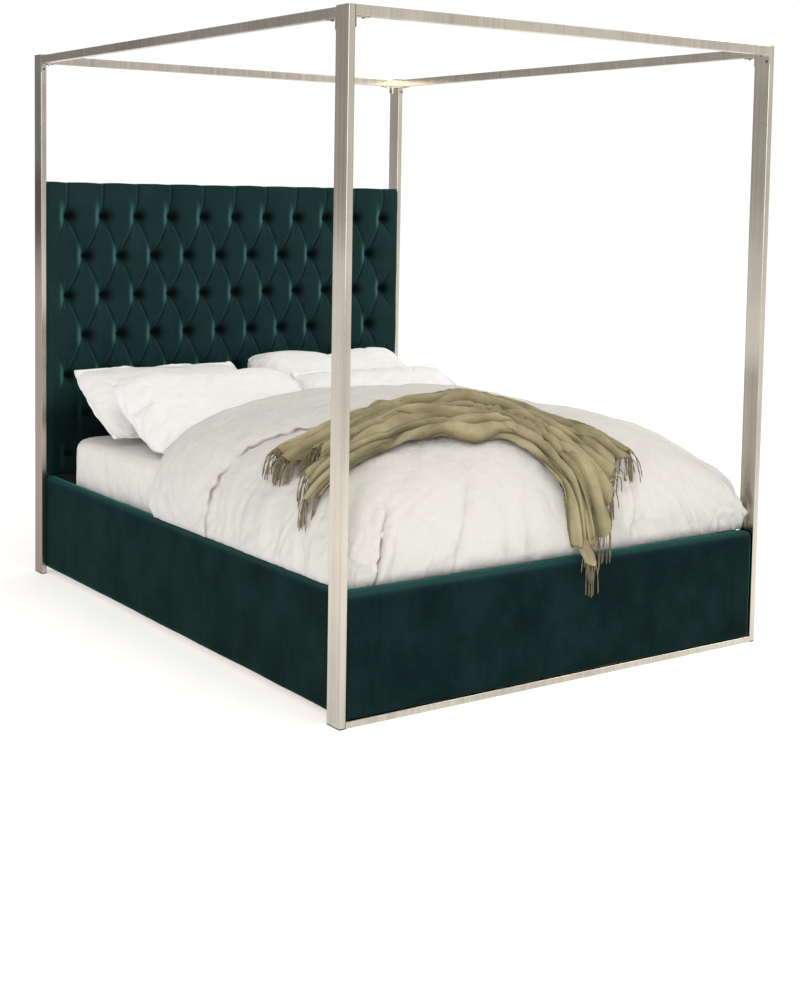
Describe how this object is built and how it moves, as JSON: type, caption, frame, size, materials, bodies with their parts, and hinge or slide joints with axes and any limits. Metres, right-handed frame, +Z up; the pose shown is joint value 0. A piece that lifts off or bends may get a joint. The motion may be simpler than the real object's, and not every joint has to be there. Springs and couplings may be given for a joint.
{
  "type": "upholstered canopy bed",
  "caption": "Queen bed with tufted velvet headboard, padded rails, bright metal posts and canopy frame, made up with mattress, pillows, duvet and throw.",
  "frame": {"origin": "on the floor under the middle of the bed", "axes": "+Z up, +Y from the foot end to the headboard, +X to the right seen from the foot"},
  "size_m": [1.676, 2.19, 1.998],
  "materials": {
    "polished_metal": "polished, warm reflections",
    "plated_steel": "zinc plated",
    "teal_velvet": "dark teal velvet",
    "dark_lining": "plain woven lining",
    "board": "plywood",
    "pine": "planed pine",
    "black_plastic": "moulded",
    "mattress_ticking": "quilted ticking",
    "white_cotton": "soft cotton",
    "olive_wool": "brushed knit"
  },
  "bodies": {
    "bed": {"beam_hanger_foot": "plated_steel", "beam_hanger_head": "plated_steel", "canopy_bracket_foot_left_cross": "polished_metal", "canopy_bracket_foot_left_long": "polished_metal", "canopy_bracket_foot_right_cross": "polished_metal", "canopy_bracket_foot_right_long": "polished_metal", "canopy_bracket_head_left_cross": "polished_metal", "canopy_bracket_head_left_long": "polished_metal", "canopy_bracket_head_right_cross": "polished_metal", "canopy_bracket_head_right_long": "polished_metal", "canopy_rail_foot": "polished_metal", "canopy_rail_head": "polished_metal", "canopy_rail_left": "polished_metal", "canopy_rail_right": "polished_metal", "centre_beam": "pine", "centre_leg_foot": "pine", "centre_leg_head": "pine", "centre_leg_middle": "pine", "duvet": "white_cotton", "fitted_sheet": "white_cotton", "footboard_core": "board", "footboard_trim": "polished_metal", "footboard_upholstery": "teal_velvet", "headboard_back_panel": "dark_lining", "headboard_core": "board", "headboard_pad": "teal_velvet", "mattress": "mattress_ticking", "pillow_back_left": "white_cotton", "pillow_back_right": "white_cotton", "pillow_front_left": "white_cotton", "pillow_front_right": "white_cotton", "post_cap_foot_left": "polished_metal", "post_cap_foot_right": "polished_metal", "post_cap_head_left": "polished_metal", "post_cap_head_right": "polished_metal", "post_foot_left": "polished_metal", "post_foot_right": "polished_metal", "post_glide_foot_left": "black_plastic", "post_glide_foot_right": "black_plastic", "post_glide_head_left": "black_plastic", "post_glide_head_right": "black_plastic", "post_head_left": "polished_metal", "post_head_right": "polished_metal", "rail_bracket_foot_left": "plated_steel", "rail_bracket_foot_right": "plated_steel", "rail_bracket_head_left": "plated_steel", "rail_bracket_head_right": "plated_steel", "side_rail_core_left": "board", "side_rail_core_right": "board", "side_rail_upholstery_left": "teal_velvet", "side_rail_upholstery_right": "teal_velvet", "slat_ledge_left": "pine", "slat_ledge_right": "pine", "slat_roll": "pine", "throw": "olive_wool"},
    "leveller_foot": {"levelling_foot_foot": "black_plastic"},
    "leveller_head": {"levelling_foot_head": "black_plastic"},
    "leveller_middle": {"levelling_foot_middle": "black_plastic"}
  },
  "joints": [
    {"name": "foot_leveller_screw", "type": "slide", "parent": "bed", "child": "leveller_foot", "axis": [0, 0, 1], "range_m": [0, 0.01]},
    {"name": "head_leveller_screw", "type": "slide", "parent": "bed", "child": "leveller_head", "axis": [0, 0, 1], "range_m": [0, 0.01]},
    {"name": "middle_leveller_screw", "type": "slide", "parent": "bed", "child": "leveller_middle", "axis": [0, 0, 1], "range_m": [0, 0.01]}
  ]
}
